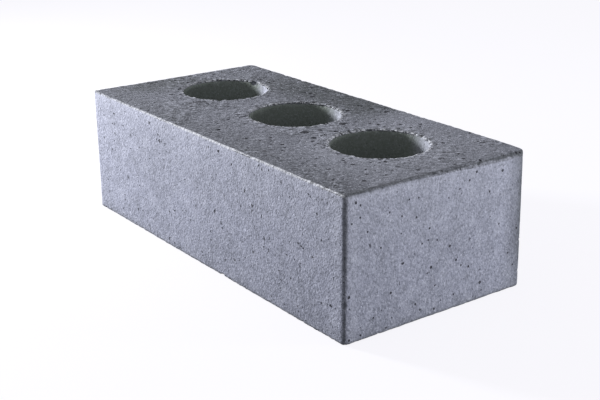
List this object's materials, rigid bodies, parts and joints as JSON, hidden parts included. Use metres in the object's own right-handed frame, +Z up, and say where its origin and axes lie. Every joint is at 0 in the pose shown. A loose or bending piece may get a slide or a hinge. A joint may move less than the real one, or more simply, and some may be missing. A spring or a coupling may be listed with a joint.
{
  "type": "perforated engineering brick",
  "caption": "Dense extruded clay brick with a row of round perforations through its wire-cut bed faces, for load-bearing and damp-resistant masonry.",
  "frame": {"origin": "centre of the lower bed face's outline", "axes": "+X along the brick's length, +Y across its width towards the stretcher face that the perforations sit nearer to, +Z up through the height, along the perforations"},
  "size_m": [0.215, 0.1024, 0.065],
  "materials": {
    "fired_clay": "matte, fine sandy grain, rougher where the wire cut it"
  },
  "bodies": {
    "root": {"brick_body": "fired_clay"}
  },
  "joints": []
}
